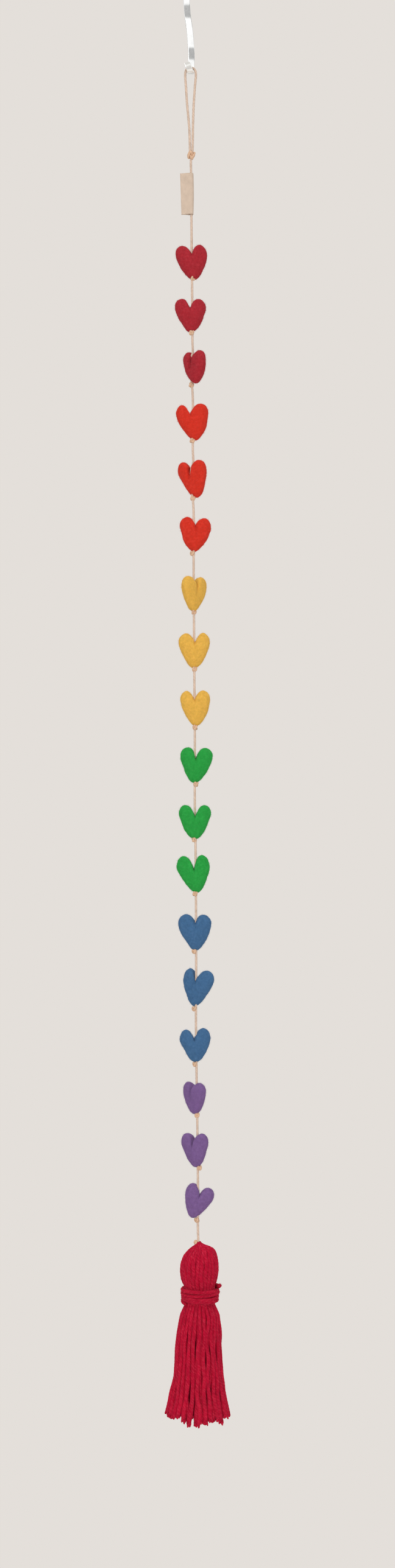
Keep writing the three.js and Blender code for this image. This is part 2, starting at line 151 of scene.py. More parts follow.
# The hearts
HEART_FULLNESS = 0.44
HEART_PUFF = 0.8
TIP_BEND = 0.75  # share of the height where it starts to lean to its tip
TIP_CURVE = 1.2
HEART_CENTRE = 0.52
HEART_BEHIND_CORD = 1.2
BACK_LIMIT = -17.8
HEART_ROUND = 116  # vertices round the outline
HEART_RINGS = 38
NOTCH_REACH = 0.8  # share of the half width that its drift aside moves
NOTCH_POINTS = 5  # of the half outline, from the notch, that it moves
HALF_OUTLINE = np.array([
    # across, up and dip: shares of the half width, the height and the notch's depth
    [0, 1, 1], [0.15, 1, 0.5], [0.33, 1, 0.13], [0.58, 1, 0], [0.83, 0.945, 0], [0.98, 0.83, 0],
    [0.99, 0.67, 0], [0.82, 0.44, 0], [0.54, 0.2, 0], [0.25, 0.045, 0], [0, 0, 0],
])
HEARTS = [
    # knot down, knot aside, tip above knot, middle aside, width, height,
    # notch aside, notch depth, tip aside, yaw, roll, crease length, crease lean, crease depth
    (296.6, 0.5, -1, -0.1, 21.7, 24.2, 0.5, 5.6, 0.9, 0, -3, 2.5, 0, 0.6),
    (334.3, -0.3, 0.7, -1.1, 21.3, 22.8, -0.2, 5.6, 0.4, 0, -1, 2.5, 0, 0.6),
    (370.4, -0.9, 0.3, 1.4, 20.5, 22.5, -0.3, 6, 1.5, -50, 0, 5.5, -0.6, 5),
    (408.9, -0.4, 0.3, 0, 22, 24.9, -1.8, 6.8, 1.3, 0, -4, 2.5, 0, 0.6),
    (448.6, -0.2, 0.2, -0.2, 20.6, 25.8, -0.8, 6, 2.1, -24, -5, 6, -0.6, 4.6),
    (486.9, -0.7, 1.2, 1, 21.3, 23.8, 0, 6.2, 0, 0, 4, 6.5, 1.5, 1.1),
    (527.3, -0.1, 0.8, 0.1, 21, 23.7, 0, 6.4, 0, 45, 1, 7, -1.5, 1.5),
    (566.7, 0.2, 0.5, 0, 21.1, 24.4, 0.6, 6.3, 0.2, 0, 0, 4, 0.3, 0.9),
    (607, 0.4, 0.8, 0.7, 20.4, 24.4, -0.7, 5.3, 0, 0, -1.5, 3, 0, 0.7),
    (646.1, 0.7, 0.9, 0.9, 21.8, 24.4, -0.7, 7.6, -0.8, 0, 3.5, 2.5, 0, 0.5),
    (684.3, -0.9, 0.6, -0.2, 21.9, 23.2, 0, 8.4, 0, 0, 0.5, 2.5, 0, 0.5),
    (721.6, -0.3, 0.5, -1.2, 22.3, 25.9, 0.3, 9.4, 1.2, 0, -4, 2.5, 0, 0.5),
    (761.3, -1.1, 0.8, -0.8, 22.8, 24.7, 0.4, 5.2, 0.9, 0, -0.5, 3, 0, 0.7),
    (800.9, -1.4, 1.6, 1.2, 21.2, 25.5, -2.2, 7.6, -1.6, -16, 6, 7, -1.6, 1.4),
    (839, -1.2, 1.4, -0.8, 21.2, 22.8, -0.8, 7, 0, 0, -3, 3, 0, 0.6),
    (873.9, 0, 0.6, -1.8, 20.5, 21.6, 0, 5.4, 0, -50, -2, 6, -0.8, 1.5),
    (910.3, 1.3, 0.5, -1.6, 20.6, 23.2, -0.3, 7.4, 0.9, -34, 0, 3, 0, 0.7),
    (946.1, -0.6, 0.9, -0.3, 19.4, 22.8, 0, 6.2, 0, 0, 18, 2.5, 0, 0.5),
]
HEARTS_OF_A_COLOUR = 3
HEART_LUMPS = [(7.0, 0.26), (2.6, 0.08), (1.1, 0.045)]  # size and height of each kind of lump
HEART_FIBRES = (450, 3500)  # bent and straight
HEART_FIBRE = (0.8, 2.3)
HEART_LIFT = 0.7
CREASE_HALF = 1.1
CREASE_FADE = 0.6  # of its depth, at its end
CREASE_BLEND = 0.3  # share of the thickness that it fades in over

# The tassel's head, neck and skirt by how far they are below its top, as half widths
TASSEL_FORM = np.array([
    # down, middle aside, across, deep
    [0, 0.2, 1.5, 1.5], [2, 0.9, 3.5, 3.3], [3.4, 1.8, 6.1, 5], [5, 2.3, 8.6, 6.8], [6.7, 2.1, 10, 8.2],
    [9.7, 1.3, 11.7, 9.8], [14.5, 0.8, 12.9, 10.8], [19.3, 0.6, 13.2, 11], [24.2, 0.5, 12.5, 10.4],
    [27.6, 0.7, 11.4, 9.7], [28.6, 0.8, 10.5, 9], [43, 0.8, 10.5, 9], [45, 0.7, 11.6, 9.7],
    [50, 0.7, 13.8, 10.4], [60, 0, 15.2, 10.8], [73, -0.5, 16, 11], [82, -0.6, 16.4, 11.2],
    [92, -0.5, 17.4, 11.6], [102, -1.1, 19.3, 11.9], [111, -1.2, 21, 12.1], [119, -1.3, 22.7, 12.2],
    [128, -1.3, 23.2, 12.2],
])
YARN_RADIUS = 1.35
YARN_PLIES = 4
YARN_PITCH = 9.0
YARN_GROOVE = 0.07  # between its plies, as a share of its radius
YARN_STEP = 0.85
YARN_SIDES = 16
YARN_FIBRE = (0.6, 2.0)
YARN_LIFT = 0.6
HEAD_YARNS = 26
HEAD_YARN_MOST = 1.75
HEAD_YARN_SHARE = 0.64  # radius over its share of the way round
HEAD_SINK = (0.85, 0.07)  # of its middle, in radii, and how uneven
HEAD_START = np.linspace(-0.5, 10, 24)  # stations over the top
HEAD_END = 41.0
HEAD_FIBRES = (900, 4500)
CORE_SHARE = 0.87
CORE_SIDES = 40
# The core is coloured dark: painted shade inside the head, seen between its strands
CORE_SHADE = 0.2
SKIRT_ROOT = 39.0
SKIRT_END = 119.6
FRAY_LENGTH = 1.6
FRAY_BACK = 1.4  # how far before its end a strand opens
FRAY_SPREAD = (0.2, 0.9)
FRAY_FIBRES = 9  # of each ply
FRAY_THICK = np.array([0.5, 0.52, 0.52, 0.5, 0.42, 0.26])  # of a ply along it, in strand radii
STRAND_THICK = np.array([
    # place along the strand, radius over the yarn's
    [0, 0.85], [0.12, 1], [0.3, 1.08], [0.8, 1.2], [0.97, 1.4], [1, 1.25],
])
INNER_STEP = 1.1
SKIRT_MIDDLE_LONGER = 4.0
SKIRT_LEFT_SHORTER = 2.6
SKIRT_UNEVEN = 1.2  # in length
SKIRT_SWING = (0.05, 0.025)  # each strand's wander and lean round the tassel
SKIRT_PUSH = 0.45  # in and out
SKIRT_RING_SHADE = 0.04  # painted shade: each ring further in is that much darker
SKIRT_RINGS = [
    # strands, share out at the root, at the end, sides of a strand, turn in pitches, fibres
    (28, 1.0, 1.0, 16, 0, (1800, 8500)),
    (28, 0.88, 0.91, 12, 0.5, (300, 900)),
    (18, 0.62, 0.7, 8, 0.25, (150, 300)),
    (10, 0.3, 0.42, 8, 0, (80, 150)),
]
WRAP_TURNS = 4.6
WRAP_TOP = 31.0
WRAP_PITCH = 1.95
WRAP_PAST = 1.4  # of the yarn's middle past the neck
WRAP_SLANT = (0.3, 1.1)  # across and deep
WRAP_UNEVEN = (0.75, 0.35)  # down and out
WRAP_STUB = [(1.5, -2.6, 1.6), (0.9, -1.5, 0.7)]  # its loose end, from where it starts
WRAP_END_FIBRES = 80
WRAP_FIBRES = (500, 2200)
WRAP_YARN_PITCH = 1.3 * YARN_PITCH

# The floor, in metres
FLOOR_RADIUS = 1.7
FLOOR_HEIGHT = -1.9
FLOOR_SIDES = 96

# The studio
SURROUND_COLOUR = (0.775, 0.738, 0.701)
SURROUND_LIGHT = 1.15
SKY_BANDS = [
    # share of the way from straight down to straight up, brightness
    (0, (0.55, 0.52, 0.49)), (0.45, (0.66, 0.64, 0.61)), (0.565, (0.9, 0.89, 0.87)),
    (0.59, 0.4), (0.61, 0.4), (0.635, 1), (0.69, 1),
    (0.708, 0.4), (0.73, 0.4), (0.755, (1, 0.98, 0.95)), (1, (1, 0.98, 0.95)),
]
SKY_SIDES = [
    # share of the way from left to right, brightness
    (0, 0.4), (0.2, 1), (0.8, 1), (1, 0.4),
]
LIGHT_TARGET = (0, 0, -0.62)
LIGHTS = [
    # name, place in metres, size in metres, watts
    ("key", (-0.8, -2.2, -0.3), (0.9, 1.6), 15),
    ("fill", (1.4, -1.9, -0.5), (1.2, 1.6), 7),
]


def lengths_along(points):
    """How far along its line each point is."""
    steps = np.linalg.norm(np.diff(points, axis=0), axis=1)
    return np.concatenate([[0], np.cumsum(steps)])


def even_line(points, spacing):
    """The line through the points with stations an even spacing apart."""
    along = lengths_along(points)
    count = max(2, int(round(along[-1] / spacing)) + 1)
    places = np.linspace(0, along[-1], count)
    return np.stack([np.interp(places, along, points[:, i]) for i in range(points.shape[1])], axis=1)


def between(first, second, start, end, t):
    """From the first at the start to the second at the end."""
    return (end - t) / (end - start) * first + (t - start) / (end - start) * second


def smooth_line(points, spacing, pieces=14):
    """A smooth line through the points, with stations an even spacing apart."""
    p = np.array(points, float)
    p = np.vstack([2 * p[0] - p[1], p, 2 * p[-1] - p[-2]])
    knots = np.concatenate([[0], np.cumsum(np.sqrt(np.linalg.norm(np.diff(p, axis=0), axis=1)))])
    out = []
    for i in range(1, len(p) - 2):
        t0, t1, t2, t3 = knots[i - 1 : i + 3]
        t = np.linspace(t1, t2, pieces, endpoint=False)[:, None]
        a1 = between(p[i - 1], p[i], t0, t1, t)
        a2 = between(p[i], p[i + 1], t1, t2, t)
        a3 = between(p[i + 1], p[i + 2], t2, t3, t)
        b1 = between(a1, a2, t0, t2, t)
        b2 = between(a2, a3, t1, t3, t)
        out.append(between(b1, b2, t1, t2, t))
    out.append(p[-2][None])
    return even_line(np.vstack(out), spacing)


def unit(vectors):
    return vectors / np.maximum(np.linalg.norm(vectors, axis=-1, keepdims=True), 1e-12)


def axes_along(points, closed=False):
    """Two directions square to a line at each of its points, carried along it without twist."""
    if closed:
        tangent = unit(np.roll(points, -1, axis=0) - np.roll(points, 1, axis=0))
    else:
        tangent = unit(np.gradient(points, axis=0))
    side = np.empty_like(points)
    first = np.array([0.0, 1.0, 0.0]) if abs(tangent[0][1]) < 0.8 else np.array([1.0, 0.0, 0.0])
    side[0] = unit(first - tangent[0] * (first @ tangent[0]))
    for i in range(1, len(points)):
        side[i] = unit(side[i - 1] - tangent[i] * (side[i - 1] @ tangent[i]))
    return side, np.cross(tangent, side)


def waves(points, size, seed, count=16):
    """A smooth uneven field from about -1 to 1 at the points, with bumps of that size."""
    random = np.random.default_rng(seed)
    way = unit(random.normal(size=(count, points.shape[1])))
    rate = np.pi / size * random.uniform(0.6, 1.5, count)
    phase = random.uniform(0, 2 * np.pi, count)
    return np.sin(points @ (way * rate[:, None]).T + phase).sum(axis=1) / math.sqrt(count)


def grid_faces(rows, columns, closed_rows=False, closed_columns=True):
    """Triangles of a grid of vertices, whose rows or columns may close on themselves."""
    r = np.arange(rows if closed_rows else rows - 1)
    c = np.arange(columns if closed_columns else columns - 1)
    r, c = (x.ravel() for x in np.meshgrid(r, c, indexing="ij"))
    r2, c2 = (r + 1) % rows, (c + 1) % columns
    a, b, d, e = r * columns + c, r * columns + c2, r2 * columns + c2, r2 * columns + c
    return np.concatenate([np.stack([a, b, d], axis=1), np.stack([a, d, e], axis=1)])


def cap_faces(ring, tip, flip):
    """Triangles from each side of a ring of vertices to one more vertex."""
    after = np.roll(ring, -1)
    pair = (after, ring) if flip else (ring, after)
    return np.stack([np.full(len(ring), tip), *pair], axis=1)


def tube_faces(rows, columns, flip=False):
    """Triangles of a tube's grid and of its ends, which meet in two more vertices after the grid's."""
    count = rows * columns
    grid = grid_faces(rows, columns)
    first = cap_faces(np.arange(columns), count, not flip)
    last = cap_faces(np.arange(count - columns, count), count + 1, flip)
    return np.concatenate([grid[:, ::-1] if flip else grid, first, last])


class Body:
    """Vertices and triangles for one piece, a shade and a grain for each vertex, a material for each face."""

    def __init__(self):
        self.vertices, self.faces, self.shades, self.kinds, self.grains = [], [], [], [], []
        self.count = 0

    def add(self, vertices, faces, shade=0.5, kind=0, grain=None):
        self.vertices.append(np.asarray(vertices, float))
        self.grains.append(self.vertices[-1] if grain is None else grain)
        self.faces.append(np.asarray(faces, int) + self.count)
        self.shades.append(np.broadcast_to(shade, len(vertices)))
        self.kinds.append(np.full(len(faces), kind))
        self.count += len(vertices)

    def arrays(self):
        return np.concatenate(self.vertices), np.concatenate(self.faces)

    def piece(self, name, materials):
        """Makes the object, riding on the part's one body."""
        vertices, faces = self.arrays()
        mesh = bpy.data.meshes.new(name)
        mesh.vertices.add(len(vertices))
        mesh.vertices.foreach_set("co", (vertices * MM).ravel())
        mesh.loops.add(3 * len(faces))
        mesh.loops.foreach_set("vertex_index", faces.ravel())
        mesh.polygons.add(len(faces))
        mesh.polygons.foreach_set("loop_start", np.arange(0, 3 * len(faces), 3))
        for material in materials:
            mesh.materials.append(material)
        mesh.polygons.foreach_set("material_index", np.concatenate(self.kinds))
        mesh.update(calc_edges=True)
        mesh.attributes.new("shade", "FLOAT", "POINT").data.foreach_set("value", np.concatenate(self.shades))
        grain = np.concatenate(self.grains)
        mesh.attributes.new("grain", "FLOAT_VECTOR", "POINT").data.foreach_set("vector", grain.ravel())
        mesh.polygons.foreach_set("use_smooth", np.full(len(faces), True))
        mesh.validate()
        made = bpy.data.objects.new(name, mesh)
        bpy.context.scene.collection.objects.link(made)
        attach(made, "root")
        return made


def add_strand(
    body, points, radius, plies=YARN_PLIES, pitch=YARN_PITCH, sides=YARN_SIDES, groove=YARN_GROOVE,
    phase=0.0, tint=0.0, closed=False,
):
    """A twisted strand along the points: its section has a lobe for each ply and turns along it.

    Its grain is where each vertex would be if the strand lay straight and untwisted.
    """
    side, up = axes_along(points, closed)
    along = lengths_along(points)
    if closed:
        total = along[-1] + np.linalg.norm(points[0] - points[-1])
        turns = max(1, round(total / pitch))
        twist = phase - 2 * np.pi * turns * along / total
        twist -= carried_turn(points, side, up) * along / total
    else:
        twist = phase - 2 * np.pi * along / pitch
    angle = 2 * np.pi * np.arange(sides) / sides
    crown = (1 + np.cos(plies * angle)) / 2
    radius = np.broadcast_to(radius, len(points))
    reach = radius[:, None] * (1 - groove * (1 - crown))
    turned = angle + twist[:, None]
    ring = points[:, None] + reach[..., None] * (
        np.cos(turned)[..., None] * side[:, None] + np.sin(turned)[..., None] * up[:, None]
    )
    tint = np.broadcast_to(tint, len(points))
    # Each vertex's shade: painted shade in the grooves between the plies, painted light on their crowns, plus
    # the strand's own tint
    shade = (GROOVE_SHADE + (CROWN_SHADE - GROOVE_SHADE) * crown + tint[:, None]).ravel()
    straight = np.stack([
        radius[:, None] * np.cos(angle),
        radius[:, None] * np.sin(angle),
        np.broadcast_to(along[:, None] * GRAIN_STRETCH + GRAIN_APART * phase, reach.shape),
    ], axis=-1).reshape(-1, 3)
    vertices = ring.reshape(-1, 3)
    if closed:
        faces = grid_faces(len(points), sides, closed_rows=True)
    else:
        faces = tube_faces(len(points), sides)
        ends = points[[0, -1]]
        ends[0] -= unit(points[1] - points[0]) * radius[0] * END_BULGE
        ends[1] += unit(points[-1] - points[-2]) * radius[-1] * END_BULGE
        vertices = np.vstack([vertices, ends])
        shade = np.concatenate([shade, [END_SHADE, END_SHADE]])
        straight = np.vstack([straight, straight[0], straight[-1]])
    body.add(vertices, faces, shade, grain=straight)


def carried_turn(points, side, up):
    """How far the carried directions of a closed line have turned when they come round."""
    tangent = unit(points[1] - points[-1])
    last = unit(side[-1] - tangent * (side[-1] @ tangent))
    return math.atan2(last @ up[0], last @ side[0])


def add_fibres(body, roots, normals, random, length, radius, lift, bent=True):
    """Loose fibres that stand on a surface: thin spikes with three sides, bent or straight."""
    count = len(roots)
    around = unit(np.cross(normals, random.normal(size=(count, 3))))
    way = unit(lift * random.uniform(*FIBRE_RISE, (count, 1)) * normals + around)
    bend = unit(way + FIBRE_BEND * unit(random.normal(size=(count, 3))) + 0.1 * normals)
    reach = random.uniform(*length, (count, 1))
    middle = roots + way * reach * 0.5
    tip = middle + bend * reach * 0.5
    roots = roots - normals * FIBRE_SINK
    across = unit(np.cross(way, around + 0.01))
    other = np.cross(way, across)
    rings = []
    for centre, share in ((roots, 1.0), (middle, FIBRE_TAPER))[: 2 if bent else 1]:
        for corner in range(3):
            turn = 2 * np.pi * corner / 3
            rings.append(centre + radius * share * (math.cos(turn) * across + math.sin(turn) * other))
    vertices = np.stack([*rings, tip], axis=1)
    top = len(rings)
    one = [[2, 1, 0]]
    for i in range(3):
        j = (i + 1) % 3
        if bent:
            one += [[i, j, 3 + j], [i, 3 + j, 3 + i]]
        one.append([top - 3 + i, top - 3 + j, top])
    faces = (np.array(one)[None] + (top + 1) * np.arange(count)[:, None, None]).reshape(-1, 3)
    body.add(vertices.reshape(-1, 3), faces, kind=1)


def add_fuzz(body, random, counts, length, lift):
    """Long bent fibres and short straight ones spread over all that the body has so far."""
    vertices, faces = body.arrays()
    bent, straight = counts
    roots, normals = places_on(vertices, faces, bent, random)
    add_fibres(body, roots, normals, random, length, FIBRE_RADIUS, lift)
    roots, normals = places_on(vertices, faces, straight, random)
    add_fibres(body, roots, normals, random, SHORT_FIBRE, FIBRE_RADIUS, SHORT_LIFT, bent=False)


def places_on(vertices, faces, count, random):
    """Random places spread evenly over a surface, and its direction there."""
    a, b, c = (vertices[faces[:, i]] for i in range(3))
    square = np.cross(b - a, c - a)
    size = np.linalg.norm(square, axis=1)
    chosen = random.choice(len(faces), count, p=size / size.sum())
    u, v = random.uniform(size=(2, count, 1))
    flip = (u + v) > 1
    u, v = np.where(flip, 1 - u, u), np.where(flip, 1 - v, v)
    place = a[chosen] + u * (b - a)[chosen] + v * (c - a)[chosen]
    return place, unit(square[chosen])


def vertex_normals(vertices, faces):
    a, b, c = (vertices[faces[:, i]] for i in range(3))
    square = np.cross(b - a, c - a)
    total = np.zeros_like(vertices)
    for i in range(3):
        np.add.at(total, faces[:, i], square)
    return unit(total)


# Materials


def feed(tree, node, inputs):
    """Gives each of these inputs of the node its value, or joins it to another node's output."""
    for name, value in inputs.items():
        if isinstance(value, bpy.types.NodeSocket):
            tree.links.new(value, node.inputs[name])
        else:
            node.inputs[name].default_value = value


def output_of(tree, kind, inputs, output):
    """One output of a new node, once its inputs are fed."""
    made = tree.nodes.new(f"ShaderNode{kind}")
    feed(tree, made, inputs)
    return made.outputs[output]


def nodes_of(name, roughness, metallic=0.0, specular=0.5, sheen=0.0, sheen_tint=(1, 1, 1), soak=0.0):
    """A new material that light soaks into a little, its node tree, its shader and its coordinates in mm."""
    material = bpy.data.materials.new(name)
    material.use_nodes = True
    tree = material.node_tree
    shader = tree.nodes["Principled BSDF"]
    feed(tree, shader, {
        "Roughness": roughness,
        "Metallic": metallic,
        "Specular IOR Level": specular,
        "Sheen Weight": sheen,
        "Sheen Roughness": 0.45,
        "Sheen Tint": (*sheen_tint, 1),
        "Subsurface Weight": soak,
        "Subsurface Radius": (1, 1, 1),
        "Subsurface Scale": SOAK_DEPTH * MM,
    })
    place = output_of(tree, "TexCoord", {}, "Object")
    place = output_of(tree, "Mapping", {"Scale": (1 / MM, 1 / MM, 1 / MM), "Vector": place}, "Vector")
    return material, tree, shader, place


def noise(tree, place, size, detail=3.0, distortion=0.0, stretch=None):
    """Noise whose spots are about that many millimetres across."""
    if stretch:
        place = output_of(tree, "Mapping", {"Scale": stretch, "Vector": place}, "Vector")
    inputs = {"Scale": 1 / size, "Detail": detail, "Distortion": distortion, "Vector": place}
    return output_of(tree, "TexNoise", inputs, "Fac")


def ramp(tree, factor, stops):
    """The colours between the stops, each given as a colour or as one number for a grey."""
    made = tree.nodes.new("ShaderNodeValToRGB")
    elements = made.color_ramp.elements
    while len(elements) < len(stops):
        elements.new(0.5)
    for element, (place, colour) in zip(elements, stops):
        element.position = place
        element.color = (*np.broadcast_to(colour, 3), 1)
    feed(tree, made, {"Fac": factor})
    return made.outputs["Color"]


def mixed(tree, kind, amount, first, second):
    made = tree.nodes.new("ShaderNodeMix")
    made.data_type = "RGBA"
    made.blend_type = kind
    feed(tree, made, {"Factor": amount, "A": first, "B": second})
    return made.outputs["Result"]


def surfaced(tree, shader, colour, heights):
    """Sets the shader's colour, and its normal from heights with their strengths and distances in mm."""
    normal = None
    for height, strength, distance in heights:
        inputs = {"Strength": strength, "Distance": distance * MM, "Height": height}
        if normal:
            inputs["Normal"] = normal
        normal = output_of(tree, "Bump", inputs, "Normal")
    feed(tree, shader, {"Base Color": colour, "Normal": normal})


def carried(tree, name, output):
    """What the mesh's own attribute of that name gives."""
    made = tree.nodes.new("ShaderNodeAttribute")
    made.attribute_name = name
    return made.outputs[output]


def tone(colour, gain, white=0.0):
    """The colour made darker or lighter, then paler."""
    return tuple(min(1.0, c * gain) * (1 - white) + white for c in colour)


def felt(name, colour):
    """Matted wool: faint blotches, fine tangled fibres, paler and darker, and a soft sheen."""
    material, tree, shader, place = nodes_of(
        name, 0.95, specular=0.12, sheen=0.1, sheen_tint=tone(colour, 1.2, 0.1), soak=0.35
    )
    blotches = noise(tree, place, 1.7, 5.0, 0.3)
    tangle = noise(tree, place, 0.34, 4.0, 2.6)
    lint = noise(tree, place, 0.22, 2.0, 4.0)
    base = ramp(tree, blotches, [(0.3, tone(colour, 0.88)), (0.52, colour), (0.74, tone(colour, 1.1, 0.01))])
    dark = ramp(tree, tangle, [(0.34, (0.72, 0.67, 0.62)), (0.55, 1)])
    pale = ramp(tree, lint, [(0.55, 0), (0.75, tone(colour, 0.55, 0.1))])
    colour_out = mixed(tree, "MULTIPLY", 0.7, base, dark)
    colour_out = mixed(tree, "ADD", 0.5, colour_out, pale)
    surfaced(tree, shader, colour_out, [(blotches, 0.25, 0.35), (tangle, 0.6, 0.2), (lint, 0.4, 0.08)])
    return material


def fibre(name, colour):
    """Loose fibres, paler than what they stand on because light comes through them."""
    tint = tone(colour, 1.2, 0.3)
    material, tree, shader, place = nodes_of(name, 0.85, specular=0.15, sheen=0.25, sheen_tint=tint)
    spots = noise(tree, place, 1.5, 2.0)
    base = ramp(tree, spots, [(0.35, tone(colour, 1.0, 0.01)), (0.65, tone(colour, 1.2, 0.08))])
    feed(tree, shader, {"Base Color": base})
    return material


def yarn(name, colour, groove_shade_gain, crown_light_gain, fleck, soak=0.0, size=0.35, roughness=0.92):
    """Twisted strands: painted shade between the plies and painted light on them, fine fibres, and pale
    flecks that paint in sheen.
    """
    material, tree, shader, place = nodes_of(
        name, roughness, specular=0.07, sheen=0.1, sheen_tint=tone(colour, 1.1, 0.04), soak=soak
    )
    # Painted shade in the grooves between the plies and painted light on their crowns, from each vertex's
    # shade
    plies = ramp(
        tree,
        carried(tree, "shade", "Fac"),
        [(0.05, tone(colour, groove_shade_gain)), (0.5, colour), (1.0, tone(colour, crown_light_gain))],
    )
    hairs = noise(tree, carried(tree, "grain", "Vector"), size, 4.0, 0.6)
    blotches = noise(tree, place, 3.5, 3.0)
    grain = ramp(tree, hairs, [(0.32, 0.74), (0.56, 1)])
    patches = ramp(tree, blotches, [(0.35, 0.84), (0.6, 1)])
    colour_out = mixed(tree, "MULTIPLY", 0.75, plies, grain)
    # Pale flecks along the fibres: painted sheen for the yarn's highlights, scattered at random like lint
    flecks = ramp(tree, hairs, [(0.52, 0), (0.68, fleck)])
    colour_out = mixed(tree, "MULTIPLY", 0.8, colour_out, patches)
    colour_out = mixed(tree, "ADD", 1.0, colour_out, flecks)
    surfaced(tree, shader, colour_out, [(hairs, 0.7, 0.18)])
    return material


def tape(name, colour):
    """Smooth woven tape: fine threads both ways, a little uneven."""
    tint = tone(colour, 1.1, 0.3)
    material, tree, shader, place = nodes_of(name, 0.7, specular=0.25, sheen=0.1, sheen_tint=tint)
    threads = noise(tree, place, 0.5, 2.0, 0.0, (0.35, 0.35, 3.4))
    warps = noise(tree, place, 0.5, 2.0, 0.0, (3.4, 3.4, 0.3))
    patches = noise(tree, place, 5.0, 3.0)
    base = ramp(tree, patches, [(0.35, tone(colour, 0.93)), (0.65, tone(colour, 1.05))])
    across = ramp(tree, threads, [(0.35, (0.88, 0.87, 0.85)), (0.6, 1)])
    down = ramp(tree, warps, [(0.35, (0.9, 0.89, 0.87)), (0.6, 1)])
    colour_out = mixed(tree, "MULTIPLY", 0.4, base, across)
    colour_out = mixed(tree, "MULTIPLY", 0.4, colour_out, down)
    surfaced(tree, shader, colour_out, [(threads, 0.3, 0.04), (warps, 0.3, 0.04)])
    return material


def polished(name, colour):
    """Polished strip metal: fine lines along it and soft waves in its shine."""
    material, tree, shader, place = nodes_of(name, 0.16, metallic=1.0)
    lines = noise(tree, place, 0.4, 3.0, 0.0, (4.0, 4.0, 0.1))
    rolls = noise(tree, place, 9.0, 2.0, 0.0, (0.6, 0.6, 1.0))
    stains = noise(tree, place, 6.0, 4.0)
    base = ramp(tree, stains, [(0.35, tone(colour, 0.86)), (0.6, colour)])
    feed(tree, shader, {"Roughness": ramp(tree, lines, [(0.3, 0.05), (0.7, 0.14)])})
    surfaced(tree, shader, base, [(rolls, 0.16, 0.4), (lines, 0.12, 0.02)])
    return material


# Base colours, near the record's
FELT_COLOURS = {
    "dark_red": (0.41, 0.019, 0.032),
    "orange_red": (0.655, 0.031, 0.014),
    "yellow": (0.77, 0.455, 0.08),
    "green": (0.019, 0.345, 0.055),
    "blue": (0.055, 0.147, 0.3),
    "purple": (0.2, 0.11, 0.295),
}
CORD_COLOUR = (0.72, 0.55, 0.44)
KNOT_COLOUR = (0.74, 0.49, 0.33)
TAG_COLOUR = (0.6, 0.475, 0.38)
YARN_COLOUR = (0.46, 0.003, 0.029)
METAL_COLOUR = (0.93, 0.935, 0.925)
# Pale flecks added along the yarns' fibres: painted sheen, scattered like lint
CORD_SHEEN_FLECK = (0.03, 0.02, 0.02)
YARN_SHEEN_FLECK = (0.12, 0.035, 0.045)


# The camera, face on to the garland and turned a little as the photograph is


def make_camera():
    lens = bpy.data.cameras.new("camera")
    lens.sensor_fit = "VERTICAL"
    lens.sensor_height = SENSOR
    lens.lens = LENS
    lens.clip_end = 50
    camera = bpy.data.objects.new("camera", lens)
    away = FRAME_HEIGHT * LENS / SENSOR
    x, y, z = FRAME_MIDDLE
    camera.location = Vector((x, y - away, z)) * MM
    level = Euler((math.pi / 2, 0, 0)).to_matrix()
    camera.rotation_euler = (level @ Matrix.Rotation(CAMERA_ROLL, 3, "Z")).to_euler()
    bpy.context.scene.collection.objects.link(camera)
    bpy.context.scene.camera = camera


# The cord and its knots


def cord_y(down):
    share = (down - HOOK_DROP) / (TASSEL_DOWN - HOOK_DROP)
    return CORD_Y_AT_HOOK + (CORD_Y_AT_TASSEL - CORD_Y_AT_HOOK) * share


def on_cord(aside, down):
    return np.array([aside, cord_y(down), -down])


def make_knot(name, at, size, seed, double=False):
    """An overhand knot drawn tight: a tube that winds round the cord and through itself."""
    wide, high = size
    random = np.random.default_rng(seed)
    tube = CORD_RADIUS * (DOUBLE_KNOT["tube"] if double else KNOT_TUBE)
    turn = np.linspace(0, 2 * np.pi, KNOT_STATIONS, endpoint=False)
    reach = (wide / 2 - tube) / 3
    rise = high / 2 - tube
    body = Body()
    for copy in range(2 if double else 1):
        lift = (copy - 0.5) * DOUBLE_KNOT["lift"] * tube if double else 0.0
        grow = 1 + DOUBLE_KNOT["growth"] * copy
        path = np.stack([
            grow * reach * (np.sin(turn) + 2 * np.sin(2 * turn)),
            grow * reach * (np.cos(turn) - 2 * np.cos(2 * turn)),
            -rise * np.sin(3 * turn) + lift,
        ], axis=1)
        spin = random.uniform(0, 2 * np.pi)
        tilt = random.uniform(-KNOT_TILT, KNOT_TILT)
        turned = np.array(Matrix.Rotation(tilt, 3, "Y") @ Matrix.Rotation(spin, 3, "Z"))
        path = path @ turned.T + at
        add_strand(body, path, tube, CORD_PLIES, CORD_PITCH, CORD_SIDES, CORD_GROOVE, closed=True)
    return body.piece(name, [KNOT_MATERIAL])


def make_cord():
    route = [on_cord(*p) for p in LOOP_ROUTE]
    route += [on_cord(aside, down) - [0, forward, 0] for aside, down, forward in CORD_DROP]
    route.append(on_cord(TASSEL_ASIDE, TASSEL_DOWN))
    route.append(on_cord(TASSEL_ASIDE, TASSEL_DOWN + CORD_INTO_TASSEL))
    path = smooth_line(route, CORD_STEP)
    body = Body()
    share, size = CORD_UNEVEN
    thick = CORD_RADIUS * (1 + share * waves(path, size, 7))
    add_strand(body, path, thick, CORD_PLIES, CORD_PITCH, CORD_SIDES, CORD_GROOVE)
    cord = body.piece("cord_line", [CORD_MATERIAL])
    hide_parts("cord")
    knots = [make_knot("knot_loop", on_cord(*LOOP_KNOT), LOOP_KNOT_SIZE, 1, double=True)]
    for i, row in enumerate(HEARTS):
        knots.append(make_knot(f"knot_{i + 1:02d}", on_cord(row[1], row[0]), HEART_KNOT_SIZE, 10 + i))
    knots.append(make_knot("knot_tassel", on_cord(*TASSEL_KNOT_AT), TASSEL_KNOT_SIZE, 5))


# The hook


